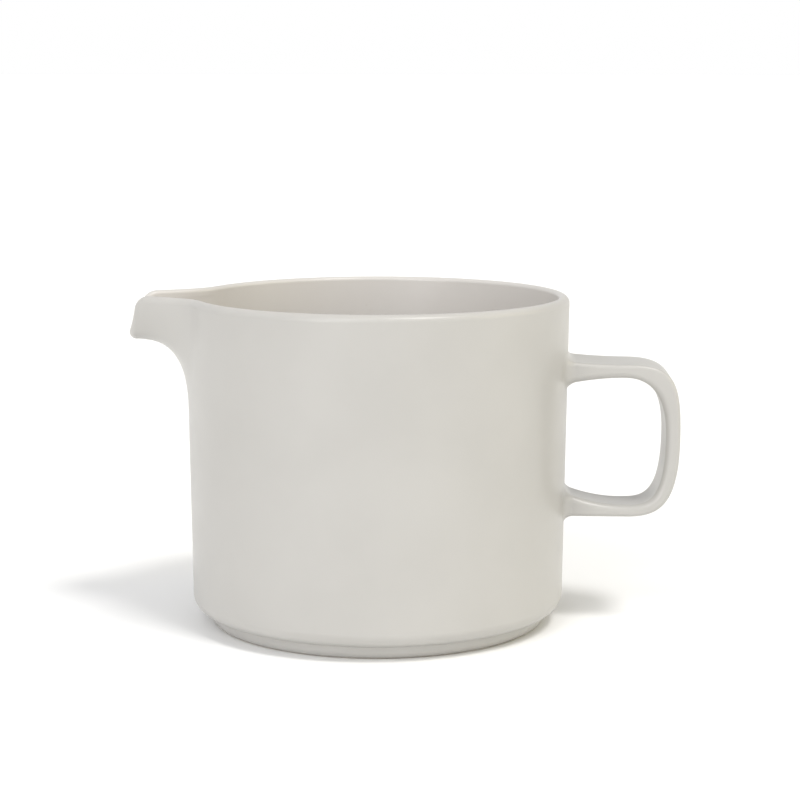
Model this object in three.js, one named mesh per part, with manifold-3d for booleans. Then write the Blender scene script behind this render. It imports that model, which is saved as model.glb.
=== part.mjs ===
// A stoneware jug: a straight wall on a base with a rounded shoulder, a recessed foot ring,
// an open beak spout and a strap handle. Millimetres, +Z up, spout towards -X, handle towards +X.
import * as THREE from "three";
import { mergeVertices } from "three/addons/utils/BufferGeometryUtils.js";
import Module from "manifold-3d";

// Driving dimensions
const HEIGHT = 115.6;
const RIM_RADIUS = 67;
const DRAFT = 0.0146; // widening of the wall for each millimetre of height
const WALL = 3.8;
const RIM_OUTER_ROUND = 2.4;
const RIM_INNER_ROUND = WALL - RIM_OUTER_ROUND;
const SEAM_GAP = 0.3; // clearance where two pieces are luted together

// Base and foot
const SHOULDER_TOP = 10.1;
const SHOULDER_ROUND = 5;
const SHOULDER_TURN = 1.2; // radians of arc before the shoulder runs in to the foot
const FOOT_RADIUS = 59.4;
const FOOT_TOP = 4.3;
const FOOT_WIDTH = 7.9;
const FOOT_OUTER_ROUND = 3;
const FOOT_INNER_ROUND = 2;
const FLOOR_TOP = 9;
const FLOOR_ROUND = 7;

// Spout, measured outwards from the jug's axis
const SEAM_HALF_WIDTH = 27.8;
const SEAM_DEPTH = 38;
const SEAM_SQUARENESS = 2.5;
const LIP_BOTTOM = 99.6;
const LIP_SQUARENESS = 2.3;
const LIP_CORNER_REACH = 80.1; // where the level rim ends and its corner begins
const LIP_CORNER_ROUND = 5.2;
const LIP_SLANT = THREE.MathUtils.degToRad(9.8);
const LIP_HALF_WIDTH = 12.3;
const CHEEK_ANGLE = THREE.MathUtils.degToRad(28);
const CHEEK_START = 9; // how far the spout's edge still follows the wall, at its top
const CHEEK_END = 12.5; // how far back from the lip the cheek runs straight
const KEEL_START = 17.8; // the same two lengths under the spout
const KEEL_END = 13.4;
const OPENING_OVERRUN = 12; // how far the tool that opens the wall passes either side of it

// Handle, seen from the side: its strap fills the space between an outer and an inner line.
// x is the distance from the jug's axis and y the height. Pulls are the Bezier lengths of the
// corners, and a root is where an arm's line meets the wall.
const GRIP_HEIGHT = 67.3;
const OUTER_LINE = {
  upperRoot: 93.7,
  upperArm: new THREE.Vector2(87, 92.6),
  upperPull: 15.9,
  upperGripPull: 19.9,
  grip: new THREE.Vector2(105.6, GRIP_HEIGHT),
  lowerGripPull: 25.2,
  lowerPull: 11.4,
  lowerArm: new THREE.Vector2(87, 38.65),
  lowerRoot: 38.65,
};
const INNER_LINE = {
  upperRoot: 85.9,
  upperArm: new THREE.Vector2(86, 87.9),
  upperPull: 6.8,
  upperGripPull: 16.9,
  grip: new THREE.Vector2(100.6, GRIP_HEIGHT),
  lowerGripPull: 25.2,
  lowerPull: 7.6,
  lowerArm: new THREE.Vector2(86, 42.7),
  lowerRoot: 46.8,
};
const STRAP_WIDTH_TOP = 26.5;
const STRAP_WIDTH_BOTTOM = 18.5;
const STRAP_OUTER_ROUND = 1.4;
const STRAP_INNER_ROUND = 2.4; // the corners that the fingers meet
const ROOT_FILLET = 2.9;

// Facets
const AROUND = 80;
const ARC_STEPS = 4;
const SPOUT_ROWS = 10;
const SPOUT_COLUMNS = 24;
const ROOT_ROWS = 4;
const ARM_ROWS = 5;
const CORNER_ROWS = 12;
const CORNER_STEPS = 3;
const FACE_STEPS = 6;

const EDGE_HEIGHT = HEIGHT - RIM_OUTER_ROUND; // where the walls end and the rolled rim begins
const SPOUT_REACH = lipPoint(0).x + RIM_OUTER_ROUND;
const HANDLE_REACH = OUTER_LINE.grip.x;
const AXIS_X = (SPOUT_REACH - HANDLE_REACH) / 2; // centres the overall length on the origin

const wasm = await Module();
wasm.setup();

function outerRadius(z) {
  return RIM_RADIUS - DRAFT * (HEIGHT - z);
}

// Points of an arc in a profile, angles in radians from the profile's outward direction.
function arc(x, y, radius, from, to, steps = ARC_STEPS) {
  const points = [];
  for (let i = 0; i <= steps; i++) {
    const angle = THREE.MathUtils.lerp(from, to, i / steps);
    points.push(new THREE.Vector2(x + radius * Math.cos(angle), y + radius * Math.sin(angle)));
  }
  return points;
}

// Turns a profile of (radius, height) points about the Z axis.
function turned(profile) {
  return new THREE.LatheGeometry(profile, AROUND).rotateX(Math.PI / 2);
}

function toSolid(geometry) {
  const bare = geometry.clone();
  bare.deleteAttribute("normal");
  bare.deleteAttribute("uv");
  const merged = mergeVertices(bare, 1e-3);
  return new wasm.Manifold(
    new wasm.Mesh({
      numProp: 3,
      vertProperties: merged.attributes.position.array,
      triVerts: new Uint32Array(merged.index.array),
    }),
  );
}

function toGeometry(solid) {
  const mesh = solid.getMesh();
  const geometry = new THREE.BufferGeometry();
  geometry.setAttribute("position", new THREE.BufferAttribute(mesh.vertProperties, 3));
  geometry.setIndex(new THREE.BufferAttribute(mesh.triVerts, 1));
  geometry.computeVertexNormals();
  return geometry;
}

// A closed surface through rings of points: each ring joins the next, and the first and last
// rings are closed by strips between the points that face each other across the ring.
function lofted(rings) {
  const count = rings[0].length;
  const positions = rings.flat().flatMap((p) => [p.x, p.y, p.z]);
  const faces = [];
  for (let i = 0; i + 1 < rings.length; i++) {
    for (let j = 0; j < count; j++) {
      const a = i * count + j;
      const b = i * count + ((j + 1) % count);
      faces.push(a, b, b + count, a, b + count, a + count);
    }
  }
  const last = (rings.length - 1) * count;
  for (let j = 0; j + 1 < count / 2; j++) {
    const k = count - 1 - j;
    faces.push(j, k, j + 1, k, k - 1, j + 1);
    faces.push(last + j, last + j + 1, last + k, last + k, last + j + 1, last + k - 1);
  }
  const geometry = new THREE.BufferGeometry();
  geometry.setAttribute("position", new THREE.Float32BufferAttribute(positions, 3));
  geometry.setIndex(faces);
  geometry.computeVertexNormals();
  return geometry;
}

// The rolled edge between an outer point and the inner one behind it: `outward` points from
// inner to outer, `beyond` points out past the edge.
function rolledEdge(outer, outward, beyond) {
  const points = [];
  for (let i = 0; i <= ARC_STEPS; i++) {
    const angle = (i / ARC_STEPS) * (Math.PI / 2);
    points.push(
      outer
        .clone()
        .addScaledVector(outward, -RIM_OUTER_ROUND * (1 - Math.cos(angle)))
        .addScaledVector(beyond, RIM_OUTER_ROUND * Math.sin(angle)),
    );
  }
  for (let i = 1; i <= ARC_STEPS; i++) {
    const angle = (i / ARC_STEPS) * (Math.PI / 2);
    points.push(
      outer
        .clone()
        .addScaledVector(outward, -RIM_OUTER_ROUND - RIM_INNER_ROUND * Math.sin(angle))
        .addScaledVector(beyond, RIM_OUTER_ROUND - RIM_INNER_ROUND * (1 - Math.cos(angle))),
    );
  }
  points.push(outer.clone().addScaledVector(outward, -WALL));
  return points;
}

// The corner between the wall's inside and the floor, from the floor up.
function floorCorner(from, to) {
  const radius = outerRadius(FLOOR_TOP + FLOOR_ROUND) - WALL - FLOOR_ROUND;
  const angleAt = (z) => Math.asin((z - FLOOR_TOP - FLOOR_ROUND) / FLOOR_ROUND);
  return arc(radius, FLOOR_TOP + FLOOR_ROUND, FLOOR_ROUND, angleAt(from), angleAt(to));
}

// Body wall: straight outside, rolled rim, and the upper part of the floor's rounded corner.
function wallProfile() {
  const bottom = SHOULDER_TOP + SEAM_GAP;
  const rim = rolledEdge(
    new THREE.Vector3(outerRadius(EDGE_HEIGHT), 0, EDGE_HEIGHT),
    new THREE.Vector3(1, 0, 0),
    new THREE.Vector3(0, 0, 1),
  ).map((p) => new THREE.Vector2(p.x, p.z));
  const corner = floorCorner(bottom, FLOOR_TOP + FLOOR_ROUND).reverse();
  const start = new THREE.Vector2(outerRadius(bottom), bottom);
  return [start, ...rim, ...corner, start.clone()];
}

// Base: floor above, rounded shoulder outside, flat underside.
function basePlateGeometry() {
  const shoulder = arc(
    outerRadius(SHOULDER_TOP) - SHOULDER_ROUND,
    SHOULDER_TOP,
    SHOULDER_ROUND,
    -SHOULDER_TURN,
    0,
  );
  return turned([
    new THREE.Vector2(0, FOOT_TOP),
    new THREE.Vector2(FOOT_RADIUS, FOOT_TOP),
    ...shoulder,
    ...floorCorner(FLOOR_TOP, SHOULDER_TOP).reverse(),
    new THREE.Vector2(0, FLOOR_TOP),
  ]);
}

function footRingGeometry() {
  const top = FOOT_TOP - SEAM_GAP;
  const inner = FOOT_RADIUS - FOOT_WIDTH;
  const start = new THREE.Vector2(FOOT_RADIUS, top);
  return turned([
    start,
    new THREE.Vector2(inner, top),
    ...arc(inner + FOOT_INNER_ROUND, FOOT_INNER_ROUND, FOOT_INNER_ROUND, Math.PI, 1.5 * Math.PI),
    ...arc(FOOT_RADIUS - FOOT_OUTER_ROUND, FOOT_OUTER_ROUND, FOOT_OUTER_ROUND, -Math.PI / 2, 0),
    start.clone(),
  ]);
}

// A channel's cross-section: a half superellipse that hangs from the edge height. The angle runs
// from -90 degrees at one edge, through 0 at the keel, to 90 degrees at the other edge.
function channel(angle, halfWidth, depth, squareness) {
  const side = Math.abs(Math.sin(angle)) ** (2 / squareness);
  const drop = Math.abs(Math.cos(angle)) ** (2 / squareness);
  return { y: Math.sign(angle) * side * halfWidth, z: EDGE_HEIGHT - depth * drop };
}

// Where the spout leaves the wall, on the wall's outer face.
function seamPoint(angle) {
  const { y, z } = channel(angle, SEAM_HALF_WIDTH, SEAM_DEPTH, SEAM_SQUARENESS);
  return new THREE.Vector3(Math.sqrt(outerRadius(z) ** 2 - y ** 2), y, z);
}

// The direction in the wall's face, at the seam, that leads into the spout.
function seamDirection(angle) {
  const { x, y, z } = seamPoint(angle);
  const across = -Math.sin(angle);
  const up = Math.cos(angle);
  const out = (outerRadius(z) * DRAFT * up - y * across) / x;
  return new THREE.Vector3(out, across, up).normalize();
}

// Where the spout's outer sheet ends, short of the rolled lip.
function lipPoint(angle) {
  const { z } = channel(angle, LIP_HALF_WIDTH, EDGE_HEIGHT - LIP_BOTTOM, LIP_SQUARENESS);
  const cornerRound = LIP_CORNER_ROUND - RIM_OUTER_ROUND;
  const centre = EDGE_HEIGHT - cornerRound;
  const tangent = centre + cornerRound * Math.sin(LIP_SLANT);
  const reach =
    z > tangent
      ? LIP_CORNER_REACH + Math.sqrt(Math.max(0, cornerRound ** 2 - (z - centre) ** 2))
      : LIP_CORNER_REACH + cornerRound * Math.cos(LIP_SLANT) + (tangent - z) * Math.tan(LIP_SLANT);
  const halfWidth = LIP_HALF_WIDTH - (reach - LIP_CORNER_REACH) * Math.tan(CHEEK_ANGLE);
  const { y } = channel(angle, halfWidth, EDGE_HEIGHT - LIP_BOTTOM, LIP_SQUARENESS);
  return new THREE.Vector3(reach, y, z);
}

// The spout's outer sheet: for each angle, a curve that leaves the wall tangentially and ends
// along the cheek or keel at the lip.
function spoutSheet(angle) {
  const keel = Math.cos(angle) ** 2;
  const start = seamPoint(angle);
  const end = lipPoint(angle);
  const turn = CHEEK_ANGLE * Math.sin(angle);
  const heading = new THREE.Vector3(Math.cos(turn), -Math.sin(turn), 0);
  return new THREE.CubicBezierCurve3(
    start,
    start
      .clone()
      .addScaledVector(seamDirection(angle), THREE.MathUtils.lerp(CHEEK_START, KEEL_START, keel)),
    end.clone().addScaledVector(heading, -THREE.MathUtils.lerp(CHEEK_END, KEEL_END, keel)),
    end,
  );
}

// Outward normal of the outer sheet, from its two directions.
function spoutNormal(curve, along, angle) {
  const step = 1e-3;
  const forward = curve.getTangent(along);
  if (Math.abs(angle) > Math.PI / 2 - step) {
    return new THREE.Vector3(0, 0, Math.sign(angle)).cross(forward).normalize();
  }
  const across = spoutSheet(angle + step)
    .getPoint(along)
    .sub(spoutSheet(angle - step).getPoint(along));
  return across.cross(forward).normalize();
}

// The angles of the spout's columns, from one edge to the other.
function columnAngles() {
  const angles = [];
  for (let i = 0; i <= SPOUT_COLUMNS; i++) {
    angles.push(THREE.MathUtils.lerp(-Math.PI / 2, Math.PI / 2, i / SPOUT_COLUMNS));
  }
  return angles;
}

function spoutGeometry() {
  const grid = columnAngles().map((angle) => {
    const curve = spoutSheet(angle);
    const rows = [];
    for (let j = 0; j <= SPOUT_ROWS; j++) {
      const along = j / SPOUT_ROWS;
      rows.push({ point: curve.getPoint(along), normal: spoutNormal(curve, along, angle) });
    }
    return rows;
  });
  return edgedSheet(grid);
}

// A closed wall from a grid of outer points and normals: outer face, inner face, rolled edge on
// three sides and a flat seam face on the fourth.
function edgedSheet(grid) {
  const positions = [];
  const faces = [];
  const add = (p) => positions.push(p.x, p.y, p.z) / 3 - 1;
  const quad = (a, b, c, d) => faces.push(a, b, c, a, c, d);
  const last = grid.length - 1;
  const tip = grid[0].length - 1;
  const outer = grid.map((ring) => ring.map(({ point }) => add(point)));
  const inner = grid.map((ring) =>
    ring.map(({ point, normal }) => add(point.clone().addScaledVector(normal, -WALL))),
  );
  for (let i = 0; i < last; i++) {
    for (let j = 0; j < tip; j++) {
      quad(outer[i][j], outer[i + 1][j], outer[i + 1][j + 1], outer[i][j + 1]);
      quad(inner[i][j], inner[i][j + 1], inner[i + 1][j + 1], inner[i + 1][j]);
    }
    quad(outer[i][0], inner[i][0], inner[i + 1][0], outer[i + 1][0]);
  }
  const border = [];
  for (let j = 0; j < tip; j++) {
    border.push([0, j]);
  }
  for (let i = 0; i <= last; i++) {
    border.push([i, tip]);
  }
  for (let j = tip - 1; j >= 0; j--) {
    border.push([last, j]);
  }
  const rolls = border.map(([i, j]) => {
    const { point, normal } = grid[i][j];
    let beyond = new THREE.Vector3(0, 0, 1);
    if (j === tip && i > 0 && i < last) {
      const along = grid[i + 1][tip].point.clone().sub(grid[i - 1][tip].point);
      beyond = normal.clone().cross(along).normalize();
    }
    const roll = rolledEdge(point, normal, beyond).slice(1, -1).map(add);
    return [outer[i][j], ...roll, inner[i][j]];
  });
  for (let k = 0; k + 1 < rolls.length; k++) {
    for (let m = 0; m + 1 < rolls[k].length; m++) {
      quad(rolls[k][m], rolls[k + 1][m], rolls[k + 1][m + 1], rolls[k][m + 1]);
    }
  }
  const [first, final] = [rolls[0], rolls[rolls.length - 1]];
  for (let m = 1; m + 1 < first.length; m++) {
    faces.push(first[0], first[m], first[m + 1]);
    faces.push(final[0], final[m + 1], final[m]);
  }
  const geometry = new THREE.BufferGeometry();
  geometry.setAttribute("position", new THREE.Float32BufferAttribute(positions, 3));
  geometry.setIndex(faces);
  geometry.computeVertexNormals();
  return geometry;
}

// What the spout takes out of the wall: its seam outline, widened by the seam gap and carried
// through the wall along the wall's normals, and out past the rim.
function spoutOpening() {
  const inwards = [];
  const outwards = [];
  for (const angle of columnAngles()) {
    const point = seamPoint(angle).addScaledVector(seamDirection(angle), -SEAM_GAP);
    const normal = point.clone().setZ(0).normalize();
    inwards.push(point.clone().addScaledVector(normal, -OPENING_OVERRUN));
    outwards.push(point.clone().addScaledVector(normal, OPENING_OVERRUN));
  }
  const above = 2 * RIM_OUTER_ROUND;
  for (const ring of [inwards, outwards]) {
    ring.unshift(ring[0].clone().setZ(EDGE_HEIGHT + above));
    ring.push(ring[ring.length - 1].clone().setZ(EDGE_HEIGHT + above));
  }
  return lofted([inwards, outwards]);
}

function bodyWallGeometry() {
  return toGeometry(toSolid(turned(wallProfile())).subtract(toSolid(spoutOpening())));
}

// One cross-section of the strap, grown all round by `growth`: a rounded rectangle as
// (across, outward) pairs. Its faces are divided so that its ends can follow the round wall.
function strapSection(width, thickness, growth) {
  const side = width / 2 + growth;
  const front = thickness / 2 + growth;
  const innerRound = STRAP_INNER_ROUND + growth;
  const outerRound = STRAP_OUTER_ROUND + growth;
  const quarter = Math.PI / 2;
  const corner = (x, y, round, turn) => arc(x, y, round, turn, turn + quarter, CORNER_STEPS);
  const face = (height, end) => {
    const points = [];
    for (let i = 1; i < FACE_STEPS; i++) {
      points.push(new THREE.Vector2(THREE.MathUtils.lerp(-end, end, i / FACE_STEPS), height));
    }
    return points;
  };
  return [
    ...corner(innerRound - side, innerRound - front, innerRound, 2 * quarter),
    ...face(-front, side - innerRound),
    ...corner(side - innerRound, innerRound - front, innerRound, 3 * quarter),
    ...corner(side - outerRound, front - outerRound, outerRound, 0),
    ...face(front, outerRound - side),
    ...corner(outerRound - side, front - outerRound, outerRound, quarter),
  ];
}

// One line of an arm, from the wall outwards. It runs level into its end and curves to its root.
function armLine(end, root, wall) {
  const distances = [];
  for (let i = 0; i < ROOT_ROWS; i++) {
    distances.push(wall + ROOT_FILLET * (1 - Math.cos(filletAngle(i))));
  }
  for (let i = 0; i <= ARM_ROWS; i++) {
    distances.push(THREE.MathUtils.lerp(wall + ROOT_FILLET, end.x, i / ARM_ROWS));
  }
  return distances.map((x) => {
    const left = (end.x - x) / (end.x - wall);
    return new THREE.Vector2(x, end.y + (root - end.y) * left ** 2);
  });
}

// How far round the root's fillet a row of the handle is, counted from the wall.
function filletAngle(row) {
  return Math.min(1, row / ROOT_ROWS) * (Math.PI / 2);
}

// The outer or inner line of the whole strap, from the upper root to the lower one.
function strapLine(line) {
  const { upperArm, grip, lowerArm } = line;
  const upperWall = outerRadius((OUTER_LINE.upperRoot + INNER_LINE.upperRoot) / 2);
  const lowerWall = outerRadius((OUTER_LINE.lowerRoot + INNER_LINE.lowerRoot) / 2);
  const upperCorner = new THREE.CubicBezierCurve(
    upperArm,
    new THREE.Vector2(upperArm.x + line.upperPull, upperArm.y),
    new THREE.Vector2(grip.x, grip.y + line.upperGripPull),
    grip,
  );
  const lowerCorner = new THREE.CubicBezierCurve(
    grip,
    new THREE.Vector2(grip.x, grip.y - line.lowerGripPull),
    new THREE.Vector2(lowerArm.x + line.lowerPull, lowerArm.y),
    lowerArm,
  );
  return [
    ...armLine(upperArm, line.upperRoot, upperWall),
    ...upperCorner.getPoints(CORNER_ROWS).slice(1),
    ...lowerCorner.getPoints(CORNER_ROWS).slice(1, -1),
    ...armLine(lowerArm, line.lowerRoot, lowerWall).reverse(),
  ];
}

// Handle: a strap between its two lines. Its ends widen in a small fillet onto the round wall.
function handleGeometry() {
  const outer = strapLine(OUTER_LINE);
  const inner = strapLine(INNER_LINE);
  const last = outer.length - 1;
  const rings = outer.map((top, row) => {
    const middle = top.clone().lerp(inner[row], 0.5);
    const outward = top.clone().sub(inner[row]).normalize();
    const angle = filletAngle(Math.min(row, last - row));
    const away = ROOT_FILLET * (1 - Math.cos(angle));
    const growth = ROOT_FILLET * (1 - Math.sin(angle));
    const width = THREE.MathUtils.lerp(STRAP_WIDTH_TOP, STRAP_WIDTH_BOTTOM, row / last);
    return strapSection(width, top.distanceTo(inner[row]), growth).map((p) => {
      const x = middle.x + outward.x * p.y;
      const z = middle.y + outward.y * p.y;
      const onWall = Math.sqrt(outerRadius(z) ** 2 - p.x ** 2) + SEAM_GAP + away;
      return new THREE.Vector3(THREE.MathUtils.lerp(x, onWall, Math.cos(angle)), p.x, z);
    });
  });
  return lofted(rings);
}

const glaze = { color: 0xd6d3cb, roughness: 0.45, metalness: 0 };
const glazeInside = { color: 0xcfc8ba, roughness: 0.45, metalness: 0 };

function piece(name, geometry, finish) {
  const mesh = new THREE.Mesh(geometry, new THREE.MeshStandardMaterial(finish));
  mesh.name = name;
  return mesh;
}

const jug = new THREE.Group();
// The wall's opening and the spout are made towards +X and turned to face -X.
jug.add(piece("body_wall", bodyWallGeometry().rotateZ(Math.PI), glaze));
jug.add(piece("base_plate", basePlateGeometry(), glazeInside));
jug.add(piece("foot_ring", footRingGeometry(), glaze));
jug.add(piece("spout", spoutGeometry().rotateZ(Math.PI), glaze));
jug.add(piece("handle", handleGeometry(), glaze));
jug.position.x = AXIS_X;

const part = new THREE.Group();
part.add(jug);
export default part;
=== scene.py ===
"""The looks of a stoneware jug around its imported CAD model: one closed mesh for each clay piece,
matt glaze and bare clay materials, a pale floor, soft studio light and the camera.

Shapes are worked out in millimetres about the jug's own axis and are moved into the frame, in
metres, when their meshes are made."""

import math

import bpy
import numpy as np
from mathutils import Matrix, Vector


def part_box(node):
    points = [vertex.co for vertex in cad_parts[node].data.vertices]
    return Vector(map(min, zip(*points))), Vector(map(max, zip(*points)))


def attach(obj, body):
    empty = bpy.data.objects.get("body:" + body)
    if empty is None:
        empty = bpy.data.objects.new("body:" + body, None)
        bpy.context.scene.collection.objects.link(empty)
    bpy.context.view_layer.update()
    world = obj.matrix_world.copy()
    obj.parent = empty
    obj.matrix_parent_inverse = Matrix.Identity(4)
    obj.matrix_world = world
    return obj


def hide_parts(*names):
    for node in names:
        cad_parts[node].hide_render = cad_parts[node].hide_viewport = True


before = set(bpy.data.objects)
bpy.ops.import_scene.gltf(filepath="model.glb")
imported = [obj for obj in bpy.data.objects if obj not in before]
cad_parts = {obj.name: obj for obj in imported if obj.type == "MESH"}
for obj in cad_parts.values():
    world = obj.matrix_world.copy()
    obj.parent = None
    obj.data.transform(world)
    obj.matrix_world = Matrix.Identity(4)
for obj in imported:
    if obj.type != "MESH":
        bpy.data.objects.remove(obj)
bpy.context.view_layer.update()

MM = 0.001
QUARTER_TURN = math.pi / 2
HALF_TURN = math.pi
FULL_TURN = 2 * math.pi
UP = np.array([0.0, 0.0, 1.0])

# Places and overall sizes, from the frame
wall_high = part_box("body_wall")[1] / MM
base_low, base_high = (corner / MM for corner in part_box("base_plate"))
foot_low, foot_high = (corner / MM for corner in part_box("foot_ring"))
spout_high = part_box("spout")[1] / MM
handle_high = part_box("handle")[1] / MM
AXIS_X = (foot_low.x + foot_high.x) / 2
HEIGHT = wall_high.z
FOOT_TOP = base_low.z
FOOT_RADIUS = foot_high.y
SHOULDER_TOP = base_high.z
HANDLE_REACH = handle_high.x - AXIS_X
SEAM_HALF_WIDTH = spout_high.y

# The clay's own measures, as in the CAD model
RIM_RADIUS = 67.0
DRAFT = 0.0146  # widening of the wall for each millimetre of height
WALL = 3.8
RIM_OUTER_ROUND = 2.4
RIM_INNER_ROUND = WALL - RIM_OUTER_ROUND
EDGE_HEIGHT = HEIGHT - RIM_OUTER_ROUND  # where the wall ends and the rolled rim begins
SHOULDER_ROUND = 5.0
SHOULDER_TURN = 1.2  # radians of arc before the shoulder runs in to the foot
FOOT_WIDTH = 7.9
FOOT_OUTER_ROUND = 3.0
FOOT_INNER_ROUND = 2.0
BARE_HEIGHT = 0.25  # the glaze is wiped off below this, where the foot touches the table
FLOOR_TOP = 9.0
FLOOR_ROUND = 7.0
CORNER_TOP = FLOOR_TOP + FLOOR_ROUND

# The spout, measured outwards from the jug's axis
SEAM_DEPTH = 38.0
SEAM_SQUARENESS = 2.5
LIP_BOTTOM = 99.6
LIP_SQUARENESS = 2.3
LIP_CORNER_REACH = 80.1  # where the level rim ends and its corner begins
LIP_CORNER_ROUND = 5.2
LIP_SLANT = math.radians(9.8)
LIP_HALF_WIDTH = 12.3
CHEEK_ANGLE = math.radians(28)
CHEEK_START = 9.0  # how far the spout's edge still follows the wall, at its top
CHEEK_END = 12.5  # how far back from the lip the cheek runs straight
KEEL_START = 17.8  # the same two lengths under the spout
KEEL_END = 13.4
ANGLE_STEP = 1e-4  # for slopes that are taken between two near angles

# The handle's strap fills the space between two lines, seen from the side. A root is the height at
# which an arm's line meets the wall, and pulls are the Bezier lengths of the corners.
GRIP_HEIGHT = 67.3
GRIP_THICKNESS = 5.0
OUTER_LINE = {
    "upper_root": 93.7,
    "upper_arm": (87.0, 92.6),
    "upper_pull": 15.9,
    "upper_grip_pull": 19.9,
    "grip": HANDLE_REACH,
    "lower_grip_pull": 25.2,
    "lower_pull": 11.4,
    "lower_arm": (87.0, 38.65),
    "lower_root": 38.65,
}
INNER_LINE = {
    "upper_root": 85.9,
    "upper_arm": (86.0, 87.9),
    "upper_pull": 6.8,
    "upper_grip_pull": 16.9,
    "grip": HANDLE_REACH - GRIP_THICKNESS,
    "lower_grip_pull": 25.2,
    "lower_pull": 7.6,
    "lower_arm": (86.0, 42.7),
    "lower_root": 46.8,
}
STRAP_WIDTH_TOP = 26.5
STRAP_WIDTH_BOTTOM = 18.5
STRAP_OUTER_ROUND = 1.4
STRAP_INNER_ROUND = 2.4  # the corners that the fingers meet
ROOT_FILLET = 2.9
ROOT_SINK = 0.02  # how far the strap's ends go into the wall

# Mesh steps
WALL_COLUMNS = 224
SPOUT_COLUMNS = 96
SPOUT_ROWS = 36
WALL_ROWS = 30
FLOOR_CORNER_ROWS = 8
ROLL_STEPS = 8
TURNED_STEPS = 288
ARC_STEPS = 10
ROOT_ROWS = 10
ARM_ROWS = 20
STRAP_CORNER_ROWS = 48
STRAP_FACE_STEPS = 16


def unit(vectors):
    return vectors / np.linalg.norm(vectors, axis=-1, keepdims=True)


def outer_radius(z):
    return RIM_RADIUS - DRAFT * (HEIGHT - z)


def smooth_step(t):
    return t * t * (3 - 2 * t)


def level_direction(turn):
    """The level unit vector at each turn from +X."""
    return np.stack([np.cos(turn), np.sin(turn), 0 * turn], -1)


def make_piece(name, surface, material, node, half_turn=False):
    """A surface as a piece that stands for a CAD node. A half turn takes its +X side to -X."""
    facing = np.array([-1, -1, 1]) if half_turn else np.array([1, 1, 1])
    mesh = bpy.data.meshes.new(name)
    placed = (np.array(surface.points) * facing + (AXIS_X, 0, 0)) * MM
    mesh.from_pydata(placed.tolist(), [], surface.faces)
    mesh.polygons.foreach_set("use_smooth", [True] * len(mesh.polygons))
    mesh.normals_split_custom_set_from_vertices((np.array(surface.normals) * facing).tolist())
    # The inside share is the mask for painted light: the glaze is drawn lighter and warmer inside the
    # jug, to stand in for light where shade falls.
    inside = mesh.attributes.new("inside", "FLOAT", "POINT")
    inside.data.foreach_set("value", surface.inside)
    mesh.materials.append(material)
    piece = bpy.data.objects.new(name, mesh)
    bpy.context.scene.collection.objects.link(piece)
    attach(piece, "root")
    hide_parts(node)
    return piece


class Surface:
    """Points about the jug's axis in millimetres, their normals, how far each is inside the jug
    (0 outside, 1 inside, between them over the rolled rim), and the faces that join them."""

    def __init__(self):
        self.points = []
        self.normals = []
        self.inside = []
        self.faces = []

    def add_grid(self, points, normals, inside):
        """Adds a grid of points and gives back the grid of their numbers."""
        first = len(self.points)
        shape = points.shape[:-1]
        self.points.extend(points.reshape(-1, 3))
        self.normals.extend(normals.reshape(-1, 3))
        self.inside.extend(np.broadcast_to(inside, shape).reshape(-1).tolist())
        return np.arange(first, len(self.points)).reshape(shape)

    def quads(self, grid, flip=False):
        """Joins a grid of point numbers with four-sided faces. `flip` makes them face the other way."""
        for row, following in zip(grid[:-1], grid[1:]):
            for i in range(len(row) - 1):
                corners = (row[i], following[i], following[i + 1], row[i + 1])
                self.faces.append(corners[::-1] if flip else corners)

    def join_strips(self, strips):
        """Joins the strips that run over a rolled edge, and closes the edge at its two ends."""
        self.quads(np.array(strips))
        self.faces.append(tuple(strips[0]))
        self.faces.append(tuple(reversed(strips[-1])))


def rolled_edge(outer, outward, beyond):
    """The rolled edge from an outer point to the inner one behind it: points, normals and inside.
    `beyond` is the direction that the edge points in."""
    points, normals, inside = [], [], []
    for step in range(1, 2 * ROLL_STEPS + 1):
        angle = QUARTER_TURN * step / ROLL_STEPS
        radius = RIM_OUTER_ROUND if step <= ROLL_STEPS else RIM_INNER_ROUND
        centre = outer - outward * RIM_OUTER_ROUND + beyond * (RIM_OUTER_ROUND - radius)
        normal = outward * math.cos(angle) + beyond * math.sin(angle)
        points.append(centre + normal * radius)
        normals.append(normal)
        # The painted lightening of the inside is blended in over the rolled rim.
        inside.append(smooth_step(angle / HALF_TURN))
    return np.array(points), np.array(normals), np.array(inside)


def channel(angle, half_width, depth, squareness):
    """A half superellipse hung from the edge height: -90 degrees is one edge and 0 the keel."""
    side = np.abs(np.sin(angle)) ** (2 / squareness) * np.sign(angle)
    drop = np.abs(np.cos(angle)) ** (2 / squareness)
    return side * half_width, EDGE_HEIGHT - depth * drop


def column_angles():
    """Spout columns from edge to edge, closer together at the edges."""
    share = np.linspace(-1, 1, SPOUT_COLUMNS + 1)
    return QUARTER_TURN * np.sin(QUARTER_TURN * share)


def seam_points(angle):
    """The line on the wall's outer face where the spout's outer sheet starts."""
    y, z = channel(angle, SEAM_HALF_WIDTH, SEAM_DEPTH, SEAM_SQUARENESS)
    return np.stack([np.sqrt(outer_radius(z) ** 2 - y**2), y, z], -1)


def seam_directions(angle):
    """Where the sheet heads as it leaves the seam: along the wall, and outwards over its edge."""
    x, y, z = np.moveaxis(seam_points(angle), -1, 0)
    across = -np.sin(angle)
    up = np.cos(angle)
    out = (outer_radius(z) * DRAFT * up - y * across) / x
    return unit(np.stack([out, across, up], -1))


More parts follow.
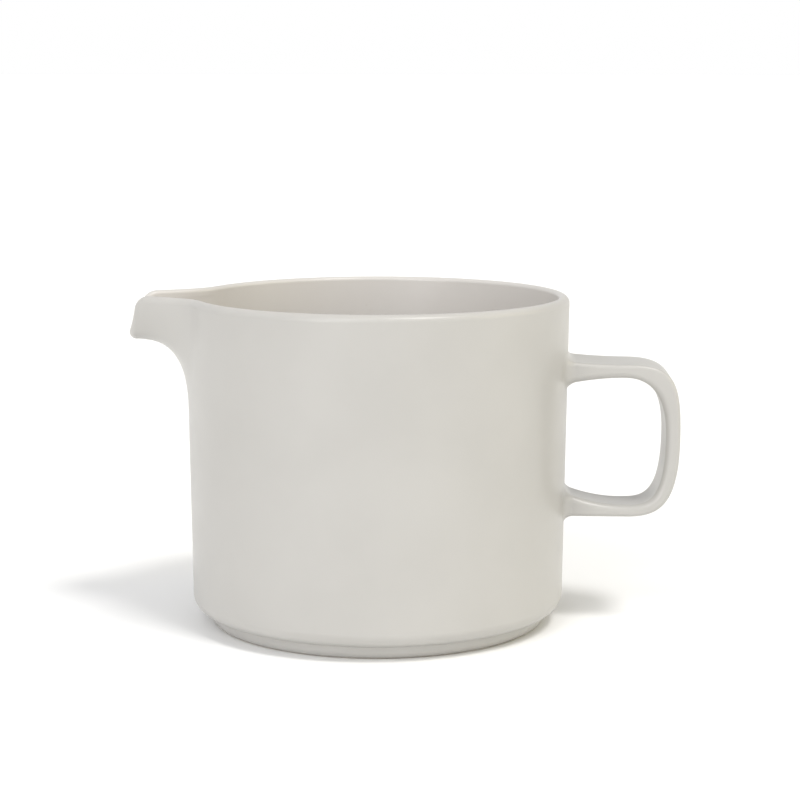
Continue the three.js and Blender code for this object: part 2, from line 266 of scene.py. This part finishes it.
def lip_points(angle):
    """The line where the sheet ends, slanted, with a round corner at its top."""
    depth = EDGE_HEIGHT - LIP_BOTTOM
    z = channel(angle, LIP_HALF_WIDTH, depth, LIP_SQUARENESS)[1]
    corner = LIP_CORNER_ROUND - RIM_OUTER_ROUND
    centre = EDGE_HEIGHT - corner
    tangent = centre + corner * math.sin(LIP_SLANT)
    rounded = LIP_CORNER_REACH + np.sqrt(np.maximum(0, corner**2 - (z - centre) ** 2))
    slanted = LIP_CORNER_REACH + corner * math.cos(LIP_SLANT) + (tangent - z) * math.tan(LIP_SLANT)
    reach = np.where(z > tangent, rounded, slanted)
    half_width = LIP_HALF_WIDTH - (reach - LIP_CORNER_REACH) * math.tan(CHEEK_ANGLE)
    y = channel(angle, half_width, depth, LIP_SQUARENESS)[0]
    return np.stack([reach, y, z], -1)


def spout_controls(angle):
    """The four Bezier points of the sheet's curve at each angle."""
    keel = (np.cos(angle) ** 2)[..., None]
    start = seam_points(angle)
    end = lip_points(angle)
    turn = CHEEK_ANGLE * np.sin(angle)
    heading = level_direction(-turn)
    leave = start + seam_directions(angle) * (CHEEK_START + (KEEL_START - CHEEK_START) * keel)
    arrive = end - heading * (CHEEK_END + (KEEL_END - CHEEK_END) * keel)
    return start, leave, arrive, end


def bezier(controls, t):
    a, b, c, d = controls
    s = 1 - t
    return s**3 * a + 3 * s * s * t * b + 3 * s * t * t * c + t**3 * d


def bezier_slope(controls, t):
    a, b, c, d = controls
    s = 1 - t
    return 3 * s * s * (b - a) + 6 * s * t * (c - b) + 3 * t * t * (d - c)


def spout_sheet():
    """Points and outward normals of the outer sheet, columns by rows."""
    angle = column_angles()
    limit = QUARTER_TURN - 2 * ANGLE_STEP
    before = spout_controls(np.clip(angle, -limit, limit) - ANGLE_STEP)
    after = spout_controls(np.clip(angle, -limit, limit) + ANGLE_STEP)
    points, normals = [], []
    for row in range(SPOUT_ROWS + 1):
        t = row / SPOUT_ROWS
        forward = bezier_slope(spout_controls(angle), t)
        across = bezier(after, t) - bezier(before, t)
        # The columns run straight down from one edge and straight up to the other.
        across[0] = -UP
        across[-1] = UP
        points.append(bezier(spout_controls(angle), t))
        normals.append(unit(np.cross(across, forward)))
    seam = points[0]
    normals[0] = unit(np.stack([seam[:, 0], seam[:, 1], -DRAFT * outer_radius(seam[:, 2])], -1))
    return np.array(points).transpose(1, 0, 2), np.array(normals).transpose(1, 0, 2)


def make_spout(material):
    outer_points, outward = spout_sheet()
    surface = Surface()
    outer = surface.add_grid(outer_points, outward, 0)
    inner = surface.add_grid(outer_points - outward * WALL, -outward, 1)
    surface.quads(outer)
    surface.quads(inner, flip=True)
    surface.quads(np.stack([inner[:, 0], outer[:, 0]], 1))
    last = SPOUT_COLUMNS
    tip = SPOUT_ROWS
    border = [(0, row) for row in range(tip)]
    border += [(column, tip) for column in range(last + 1)]
    border += [(last, row) for row in reversed(range(tip))]
    strips = []
    for column, row in border:
        beyond = UP
        if row == tip and 0 < column < last:
            along = outer_points[column + 1, tip] - outer_points[column - 1, tip]
            beyond = unit(np.cross(outward[column, row], along))
        roll = surface.add_grid(*rolled_edge(outer_points[column, row], outward[column, row], beyond))
        strips.append([outer[column, row], *roll, inner[column, row]])
    surface.join_strips(strips)
    return make_piece("Jug_spout", surface, material, "spout", half_turn=True)


def corner_inset(z):
    """How far the floor's rounded corner stands in from the straight wall, and its slope angle."""
    depth = np.maximum(0, CORNER_TOP - z)
    return FLOOR_ROUND - np.sqrt(FLOOR_ROUND**2 - depth**2), np.arcsin(depth / FLOOR_ROUND)


def wall_grid():
    """The turn and the height of each point of the wall, columns by rows. The columns of the spout
    start at its seam."""
    seam = seam_points(column_angles())
    seam_turn = np.arctan2(seam[:, 1], seam[:, 0])
    edge_turn = seam_turn[-1]
    even_turn = np.linspace(-edge_turn, edge_turn, SPOUT_COLUMNS + 1)
    round_turn = np.linspace(edge_turn, FULL_TURN - edge_turn, WALL_COLUMNS + 1)[1:-1]
    top_turn = np.concatenate([seam_turn, round_turn])
    low_turn = np.concatenate([even_turn, round_turn])
    top = np.concatenate([seam[:, 2], np.full(len(round_turn), EDGE_HEIGHT)])
    turns, heights = [], []
    for row in range(WALL_ROWS + 1):
        t = row / WALL_ROWS
        turns.append(top_turn + (low_turn - top_turn) * smooth_step(t))
        heights.append(top + (CORNER_TOP - top) * t)
    for row in range(1, FLOOR_CORNER_ROWS + 1):
        turns.append(low_turn)
        height = CORNER_TOP + (SHOULDER_TOP - CORNER_TOP) * row / FLOOR_CORNER_ROWS
        heights.append(np.full(len(low_turn), height))
    return np.array(turns).T, np.array(heights).T


def make_wall(material):
    turn, z = wall_grid()
    direction = level_direction(turn)
    outer_points = direction * outer_radius(z)[..., None] + UP * z[..., None]
    outward = unit(direction - UP * DRAFT)
    inset, slope = corner_inset(z)
    inner_points = outer_points - outward * WALL - direction * inset[..., None]
    inward = -direction * np.cos(slope)[..., None] + UP * (np.sin(slope) + DRAFT)[..., None]
    surface = Surface()
    outer = surface.add_grid(outer_points, outward, 0)
    inner = surface.add_grid(inner_points, unit(inward), 1)
    outer_ring = np.concatenate([outer, outer[:1]])
    inner_ring = np.concatenate([inner, inner[:1]])
    surface.quads(outer_ring, flip=True)
    surface.quads(inner_ring)
    surface.quads(np.stack([inner_ring[:, -1], outer_ring[:, -1]], 1))
    surface.quads(np.stack([outer, inner], 2)[: SPOUT_COLUMNS + 1, 0])
    strips = []
    for column in [*range(SPOUT_COLUMNS, len(outer)), 0]:
        roll = surface.add_grid(*rolled_edge(outer_points[column, 0], direction[column, 0], UP))
        strips.append([outer[column, 0], *roll, inner[column, 0]])
    surface.join_strips(strips)
    return make_piece("Jug_wall", surface, material, "body_wall", half_turn=True)


def arc(x, y, radius, start, end, steps=ARC_STEPS, hollow=False):
    """Profile points of an arc with their normals; a hollow arc's normals point to its centre."""
    made = []
    for angle in np.linspace(start, end, steps + 1):
        direction = np.array([math.cos(angle), math.sin(angle)])
        made.append((np.array([x, y]) + radius * direction, -direction if hollow else direction))
    return made


def turned_piece(name, profile, material, node, closed):
    """Turns (radius, height) points with normals about the axis. An open profile ends on the axis."""
    turn = np.linspace(0, FULL_TURN, TURNED_STEPS, endpoint=False)
    direction = level_direction(turn)
    surface = Surface()
    rings = []
    for (radius, height), (out, rise) in profile:
        # Faces that rise, the jug's floor inside, get the painted lightening of the inside too.
        inside = 1 if rise > 0 else 0
        if radius == 0:
            centre = surface.add_grid(UP[None] * height, UP[None] * rise, inside)
            rings.append(np.repeat(centre, TURNED_STEPS))
            continue
        points = direction * radius + UP * height
        rings.append(surface.add_grid(points, direction * out + UP * rise, inside))
    if closed:
        rings.append(rings[0])
    for ring, following in zip(rings[:-1], rings[1:]):
        for i in range(TURNED_STEPS):
            j = (i + 1) % TURNED_STEPS
            corners = (ring[i], ring[j], following[j], following[i])
            surface.faces.append(tuple(dict.fromkeys(int(c) for c in corners)))
    return make_piece(name, surface, material, node)


def make_base(material):
    shoulder_x = outer_radius(SHOULDER_TOP) - SHOULDER_ROUND
    corner_x = outer_radius(CORNER_TOP) - WALL - FLOOR_ROUND
    seam_angle = -math.asin((CORNER_TOP - SHOULDER_TOP) / FLOOR_ROUND)
    slope_out = np.array([math.cos(-SHOULDER_TURN), math.sin(-SHOULDER_TURN)])
    profile = [
        (np.array([0.0, FOOT_TOP]), (0, -1)),
        (np.array([FOOT_RADIUS - FOOT_WIDTH, FOOT_TOP]), (0, -1)),
        (np.array([FOOT_RADIUS, FOOT_TOP]), slope_out),
        *arc(shoulder_x, SHOULDER_TOP, SHOULDER_ROUND, -SHOULDER_TURN, 0),
        *arc(corner_x, CORNER_TOP, FLOOR_ROUND, seam_angle, -QUARTER_TURN, hollow=True),
        (np.array([0.0, FLOOR_TOP]), (0, 1)),
    ]
    return turned_piece("Jug_base", profile, material, "base_plate", closed=False)


def make_foot(material, bare):
    inner = FOOT_RADIUS - FOOT_WIDTH
    outer_x = FOOT_RADIUS - FOOT_OUTER_ROUND
    inner_x = inner + FOOT_INNER_ROUND
    profile = [
        (np.array([FOOT_RADIUS, FOOT_TOP]), (1, 0)),
        (np.array([inner, FOOT_TOP]), (-1, 0)),
        *arc(inner_x, FOOT_INNER_ROUND, FOOT_INNER_ROUND, HALF_TURN, 1.5 * HALF_TURN),
        *arc(outer_x, FOOT_OUTER_ROUND, FOOT_OUTER_ROUND, -QUARTER_TURN, 0),
    ]
    foot = turned_piece("Jug_foot", profile, material, "foot_ring", closed=True)
    foot.data.materials.append(bare)
    for face in foot.data.polygons:
        if face.center.z < BARE_HEIGHT * MM:
            face.material_index = 1
    return foot


def strap_section(width, thickness, growth):
    """A rounded rectangle grown all round by `growth`: (across, outward) points and normals."""
    side = width / 2 + growth
    front = thickness / 2 + growth
    inner_round = STRAP_INNER_ROUND + growth
    outer_round = STRAP_OUTER_ROUND + growth

    def corner(x, y, radius, turn):
        return arc(x, y, radius, turn, turn + QUARTER_TURN)

    def face(height, end):
        normal = np.array([0.0, math.copysign(1, height)])
        places = np.linspace(-end, end, STRAP_FACE_STEPS + 1)[1:-1]
        return [(np.array([x, height]), normal) for x in places]

    made = [
        *corner(inner_round - side, inner_round - front, inner_round, HALF_TURN),
        *face(-front, side - inner_round),
        *corner(side - inner_round, inner_round - front, inner_round, -QUARTER_TURN),
        *corner(side - outer_round, front - outer_round, outer_round, 0),
        *face(front, outer_round - side),
        *corner(outer_round - side, front - outer_round, outer_round, QUARTER_TURN),
    ]
    return np.array([p for p, _ in made]), np.array([n for _, n in made])


def fillet_angle(row):
    """How far round the root's fillet a row of the handle is, counted from the wall."""
    return min(1, row / ROOT_ROWS) * QUARTER_TURN


def arm_line(end, root, wall):
    """One line of an arm, from the wall out. It runs level into its end and curves to its root."""
    near = [wall + ROOT_FILLET * (1 - math.cos(fillet_angle(row))) for row in range(ROOT_ROWS)]
    x = np.concatenate([near, np.linspace(wall + ROOT_FILLET, end[0], ARM_ROWS + 1)])
    left = (end[0] - x) / (end[0] - wall)
    return np.stack([x, end[1] + (root - end[1]) * left**2], -1)


def strap_line(line):
    """The outer or inner line of the whole strap, from the upper root to the lower one."""
    upper_wall = outer_radius((OUTER_LINE["upper_root"] + INNER_LINE["upper_root"]) / 2)
    lower_wall = outer_radius((OUTER_LINE["lower_root"] + INNER_LINE["lower_root"]) / 2)
    upper, lower, grip = line["upper_arm"], line["lower_arm"], line["grip"]
    t = np.linspace(0, 1, STRAP_CORNER_ROWS + 1)[:, None]
    upper_corner = (
        upper,
        (upper[0] + line["upper_pull"], upper[1]),
        (grip, GRIP_HEIGHT + line["upper_grip_pull"]),
        (grip, GRIP_HEIGHT),
    )
    lower_corner = (
        (grip, GRIP_HEIGHT),
        (grip, GRIP_HEIGHT - line["lower_grip_pull"]),
        (lower[0] + line["lower_pull"], lower[1]),
        lower,
    )
    return np.concatenate(
        [
            arm_line(upper, line["upper_root"], upper_wall),
            bezier([np.array(p) for p in upper_corner], t)[1:],
            bezier([np.array(p) for p in lower_corner], t)[1:-1],
            arm_line(lower, line["lower_root"], lower_wall)[::-1],
        ]
    )


def line_normals(line, side):
    """Unit normals of a line seen from the side, to its left (1) or right (-1)."""
    heading = unit(np.gradient(line, axis=0))
    return np.stack([-heading[:, 1], heading[:, 0]], -1) * side


def strap_row(outer, inner, out_normal, in_normal, width, angle):
    """Points and normals of one row of the strap, round the middle of its two lines. Near a root the
    row spreads out and is drawn on to the wall, by its angle round the fillet."""
    outward = unit(outer - inner)
    away = ROOT_FILLET * (1 - math.cos(angle)) - ROOT_SINK
    growth = ROOT_FILLET * (1 - math.sin(angle))
    section, flat = strap_section(width, np.linalg.norm(outer - inner), growth)
    x, z = ((outer + inner) / 2 + outward * section[:, 1:]).T
    y = section[:, 0]
    on_wall = np.sqrt(outer_radius(z) ** 2 - y**2)
    x = x + (on_wall + away - x) * math.cos(angle)
    face = np.where(flat[:, 1:] > 0, out_normal, in_normal) * np.abs(flat[:, 1:])
    strap = unit(np.stack([face[:, 0], flat[:, 0], face[:, 1]], -1))
    wall = unit(np.stack([on_wall, y, -DRAFT * outer_radius(z)], -1))
    return np.stack([x, y, z], -1), unit(strap * math.sin(angle) + wall * math.cos(angle))


def make_handle(material):
    outer, inner = strap_line(OUTER_LINE), strap_line(INNER_LINE)
    out_normals, in_normals = line_normals(outer, 1), line_normals(inner, -1)
    last = len(outer) - 1
    rows = []
    for row in range(last + 1):
        width = STRAP_WIDTH_TOP + (STRAP_WIDTH_BOTTOM - STRAP_WIDTH_TOP) * row / last
        angle = fillet_angle(min(row, last - row))
        rows.append(strap_row(outer[row], inner[row], out_normals[row], in_normals[row], width, angle))
    points, normals = (np.array(part) for part in zip(*rows))
    surface = Surface()
    grid = surface.add_grid(points, normals, 0)
    surface.quads(np.concatenate([grid, grid[:, :1]], 1), flip=True)
    half = grid.shape[1] // 2
    for ring, flip in ((grid[0], False), (grid[-1], True)):
        surface.quads(np.stack([ring[:half], ring[::-1][:half]], 0), flip=flip)
    return make_piece("Jug_handle", surface, material, "handle")


# Materials. Each pair of tones is mixed by a slow noise, so that no surface is one flat colour.

OUTSIDE_TONES = ((0.434, 0.424, 0.405), (0.452, 0.442, 0.423))
# Painted light: the inside tones are a lighter, warmer copy of the outside glaze that stands in for
# light inside the jug, where shade falls.
INSIDE_PAINTED_LIGHT_TONES = ((0.592, 0.568, 0.543), (0.612, 0.590, 0.566))
SPECK_COLOUR = (0.42, 0.36, 0.28)
CLAY_TONES = ((0.52, 0.46, 0.37), (0.60, 0.54, 0.45))
GRAIN_COLOUR = (0.36, 0.31, 0.24)
FLOOR_TONES = ((0.94, 0.94, 0.94), (0.95, 0.95, 0.95))
RANGE_SOCKETS = ("From Min", "From Max", "To Min", "To Max")


class Nodes:
    """Short calls for building a material's nodes. A bump's distance is in metres."""

    def __init__(self, name):
        self.material = bpy.data.materials.new(name)
        self.material.use_nodes = True
        self.tree = self.material.node_tree
        self.shader = self.tree.nodes["Principled BSDF"]
        self.place = self.tree.nodes.new("ShaderNodeTexCoord").outputs["Object"]

    def link(self, source, target):
        self.tree.links.new(source, target)

    def attribute(self, name):
        node = self.tree.nodes.new("ShaderNodeAttribute")
        node.attribute_name = name
        return node.outputs["Fac"]

    def noise(self, per_metre, detail):
        node = self.tree.nodes.new("ShaderNodeTexNoise")
        node.inputs["Scale"].default_value = per_metre
        node.inputs["Detail"].default_value = detail
        self.link(self.place, node.inputs["Vector"])
        return node.outputs["Fac"]

    def range(self, value, low, high, to_low=0.0, to_high=1.0):
        node = self.tree.nodes.new("ShaderNodeMapRange")
        self.link(value, node.inputs["Value"])
        for socket, number in zip(RANGE_SOCKETS, (low, high, to_low, to_high)):
            node.inputs[socket].default_value = number
        return node.outputs["Result"]

    def mix(self, factor, a, b):
        node = self.tree.nodes.new("ShaderNodeMix")
        node.data_type = "RGBA"
        self.link(factor, node.inputs["Factor"])
        for socket, value in (("A", a), ("B", b)):
            target = [s for s in node.inputs if s.name == socket and s.type == "RGBA"][0]
            if isinstance(value, tuple):
                target.default_value = (*value, 1)
            else:
                self.link(value, target)
        return [s for s in node.outputs if s.type == "RGBA"][0]

    def bump(self, height, distance, strength, base=None):
        node = self.tree.nodes.new("ShaderNodeBump")
        node.inputs["Distance"].default_value = distance
        node.inputs["Strength"].default_value = strength
        self.link(height, node.inputs["Height"])
        if base is not None:
            self.link(base, node.inputs["Normal"])
        return node.outputs["Normal"]


def glaze_material():
    nodes = Nodes("matt_glaze")
    cloud = nodes.range(nodes.noise(per_metre=28, detail=3), low=0.35, high=0.65)
    outside = nodes.mix(cloud, *OUTSIDE_TONES)
    # Painted light: the lighter, warmer tones go inside the jug, by the inside share, in place of the
    # shade that falls there.
    inside = nodes.mix(cloud, *INSIDE_PAINTED_LIGHT_TONES)
    colour = nodes.mix(nodes.attribute("inside"), outside, inside)
    speck = nodes.range(nodes.noise(per_metre=900, detail=1), low=0.76, high=0.80, to_high=0.12)
    colour = nodes.mix(speck, colour, SPECK_COLOUR)
    nodes.link(colour, nodes.shader.inputs["Base Color"])
    patches = nodes.noise(per_metre=60, detail=4)
    rough = nodes.range(patches, low=0.3, high=0.7, to_low=0.29, to_high=0.38)
    nodes.link(rough, nodes.shader.inputs["Roughness"])
    ripple = nodes.bump(nodes.noise(per_metre=110, detail=2), distance=0.0004, strength=0.12)
    skin = nodes.bump(nodes.noise(per_metre=1500, detail=2), distance=0.0001, strength=0.15, base=ripple)
    nodes.link(skin, nodes.shader.inputs["Normal"])
    nodes.shader.inputs["IOR"].default_value = 1.5
    return nodes.material


def bare_clay_material():
    nodes = Nodes("bare_clay")
    cloud = nodes.range(nodes.noise(per_metre=60, detail=4), low=0.35, high=0.65)
    grain = nodes.range(nodes.noise(per_metre=1800, detail=2), low=0.4, high=0.7, to_high=0.2)
    colour = nodes.mix(grain, nodes.mix(cloud, *CLAY_TONES), GRAIN_COLOUR)
    nodes.link(colour, nodes.shader.inputs["Base Color"])
    nodes.shader.inputs["Roughness"].default_value = 0.85
    pits = nodes.bump(nodes.noise(per_metre=1600, detail=3), distance=0.0002, strength=0.5)
    nodes.link(pits, nodes.shader.inputs["Normal"])
    return nodes.material


def floor_material():
    nodes = Nodes("pale_floor")
    cloud = nodes.range(nodes.noise(per_metre=3, detail=2), low=0.3, high=0.7)
    nodes.link(nodes.mix(cloud, *FLOOR_TONES), nodes.shader.inputs["Base Color"])
    nodes.shader.inputs["Roughness"].default_value = 0.9
    return nodes.material


# Stage, light and camera

FLOOR_RADIUS = 40.0  # metres
FLOOR_SIDES = 96

# The world is brighter up to the horizon's rise, and dimmer from the dome's rise up. The rise of a
# level direction is 0, and that of straight up is 1.
HORIZON_STRENGTH = 1.0
HORIZON_RISE = 0.1
DOME_STRENGTH = 0.68
DOME_RISE = 0.3
WHITE = (1.0, 1.0, 1.0, 1.0)

# Each lamp's azimuth and elevation in degrees, its strength, its breadth in degrees and its colour
LAMPS = {
    "top": (44, 62, 1.3, 14, (1.0, 0.99, 0.97)),
    "key": (-22, 42, 0.55, 22, (0.99, 1.0, 1.02)),
    "front": (-30, 10, 0.8, 26, (1.0, 0.985, 0.96)),
    "side": (85, 20, 0.52, 50, (1.0, 0.87, 0.4)),
}

# The camera's place from the foot of the jug's axis, before its turn round that axis, and how it looks
CAMERA_ACROSS = 7.82
CAMERA_BACK = 761.58
CAMERA_HEIGHT = 194.91
CAMERA_TURN = math.radians(1.7)  # towards the handle
CAMERA_PITCH = math.radians(8.719)  # downwards
CAMERA_ROLL = math.radians(0.061)
CAMERA_LENS = 98.36


def make_floor():
    mesh = bpy.data.meshes.new("Floor")
    ring = level_direction(np.linspace(0, FULL_TURN, FLOOR_SIDES, endpoint=False)) * FLOOR_RADIUS
    mesh.from_pydata(ring.tolist(), [], [tuple(range(FLOOR_SIDES))])
    mesh.materials.append(floor_material())
    floor = bpy.data.objects.new("Floor", mesh)
    bpy.context.scene.collection.objects.link(floor)


def make_light(name, azimuth, elevation, strength, spread, colour):
    """A broad distant light. Azimuth 0 is the camera's side, and it grows towards the handle."""
    light = bpy.data.lights.new(name, "SUN")
    light.energy = strength
    light.angle = math.radians(spread)
    light.color = colour
    lamp = bpy.data.objects.new(name, light)
    bpy.context.scene.collection.objects.link(lamp)
    lamp.rotation_euler = (math.radians(90 - elevation), 0, math.radians(azimuth))


def light_scene():
    world = bpy.data.worlds.new("studio")
    bpy.context.scene.world = world
    world.use_nodes = True
    nodes, links = world.node_tree.nodes, world.node_tree.links
    background = nodes["Background"]
    place = nodes.new("ShaderNodeTexCoord")
    split = nodes.new("ShaderNodeSeparateXYZ")
    ramp = nodes.new("ShaderNodeMapRange")
    ramp.interpolation_type = "SMOOTHSTEP"
    links.new(place.outputs["Generated"], split.inputs["Vector"])
    links.new(split.outputs["Z"], ramp.inputs["Value"])
    numbers = (HORIZON_RISE, DOME_RISE, HORIZON_STRENGTH, DOME_STRENGTH)
    for socket, number in zip(RANGE_SOCKETS, numbers):
        ramp.inputs[socket].default_value = number
    links.new(ramp.outputs["Result"], background.inputs["Strength"])
    background.inputs["Color"].default_value = WHITE
    for name, values in LAMPS.items():
        make_light(name, *values)
    bpy.context.scene.view_settings.view_transform = "Standard"


def make_camera():
    data = bpy.data.cameras.new("camera")
    data.lens = CAMERA_LENS
    camera = bpy.data.objects.new("camera", data)
    bpy.context.scene.collection.objects.link(camera)
    turn = Matrix.Rotation(CAMERA_TURN, 4, "Z")
    away = turn @ Vector((CAMERA_ACROSS, -CAMERA_BACK, CAMERA_HEIGHT)) * MM
    place = Matrix.Translation(away + Vector((AXIS_X * MM, 0, 0)))
    tilt = Matrix.Rotation(QUARTER_TURN - CAMERA_PITCH, 4, "X")
    roll = Matrix.Rotation(CAMERA_ROLL, 4, "Z")
    camera.matrix_world = place @ turn @ tilt @ roll
    bpy.context.scene.camera = camera


make_camera()
make_floor()
light_scene()
glaze = glaze_material()
make_wall(glaze)
make_spout(glaze)
make_base(glaze)
make_handle(glaze)
make_foot(glaze, bare_clay_material())
